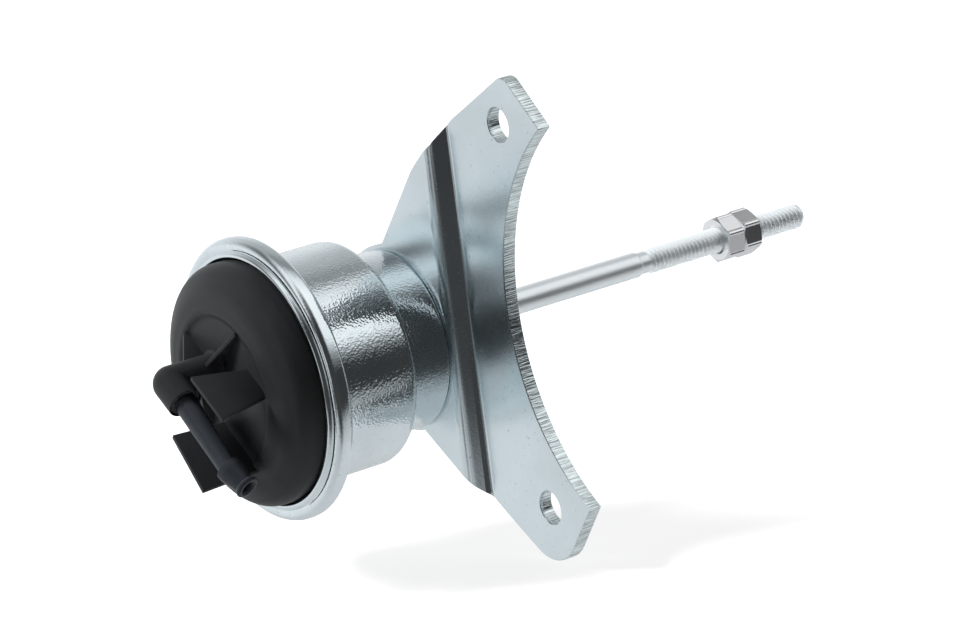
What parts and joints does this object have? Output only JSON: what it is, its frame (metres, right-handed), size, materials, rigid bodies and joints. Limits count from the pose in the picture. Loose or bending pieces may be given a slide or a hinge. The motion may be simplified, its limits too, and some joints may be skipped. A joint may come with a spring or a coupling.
{
  "type": "turbo actuator",
  "caption": "Sprung diaphragm canister on a stepped two-hole bracket, with a black moulded cap, a barbed hose pipe and a threaded push rod that carries locking nuts.",
  "frame": {"origin": "the middle of the two bolt holes, on the bracket's bolting face (the flat face away from the canister)", "axes": "+X along the push rod, from the canister towards the threaded tip; +Z along the line of the two bolt holes, up in the picture; +Y from the bolt holes towards the rod"},
  "size_m": [0.1778, 0.0916, 0.108],
  "materials": {
    "zinc_can": "bright zinc plated, orange-peel sheet",
    "black_moulding": "moulded black",
    "pipe_moulding": "blue-black, slightly glossier",
    "rubber_black": "matt",
    "zinc_plate": "pale blue zinc plate, satin",
    "rod_steel": "bright drawn, zinc plated",
    "nut_steel": "bright zinc plated",
    "pressed_steel": "plain pressed steel",
    "spring_steel": "oiled spring wire",
    "bush_bronze": "sintered, oiled"
  },
  "bodies": {
    "actuator_body": {"canister": "zinc_can", "cap": "black_moulding", "pipe_elbow": "black_moulding", "short_fin": "black_moulding", "long_fin": "black_moulding", "hose_pipe": "pipe_moulding", "pipe_seal": "rubber_black", "diaphragm": "rubber_black", "return_spring": "spring_steel", "spring_seat": "pressed_steel", "guide_bush": "bush_bronze", "stop_bumper": "rubber_black", "rod_seal": "rubber_black", "seal_keeper": "pressed_steel", "bracket": "zinc_plate", "clinch_collar": "pressed_steel"},
    "rod_assembly": {"push_rod": "rod_steel", "spacer_sleeve": "pressed_steel", "piston_cup": "pressed_steel", "clamp_disc": "pressed_steel", "head_washer": "pressed_steel"},
    "lock_nut_body": {"lock_nut": "nut_steel"},
    "adjuster_nut_body": {"adjuster_nut": "nut_steel"}
  },
  "joints": [
    {"name": "rod_slide", "type": "slide", "parent": "actuator_body", "child": "rod_assembly", "axis": [1, 0, 0], "range_m": [0, 0.008], "stiffness_N_per_m": 6000, "springref_m": -0.01, "deforming": ["return_spring", "diaphragm"]},
    {"name": "lock_nut_turn", "type": "hinge", "parent": "rod_assembly", "child": "lock_nut_body", "pos_m": [0.087, 0.0449, -0.0092], "axis": [1, 0, 0], "continuous": true},
    {"name": "adjuster_nut_turn", "type": "hinge", "parent": "rod_assembly", "child": "adjuster_nut_body", "pos_m": [0.092, 0.0449, -0.0092], "axis": [1, 0, 0], "continuous": true}
  ]
}
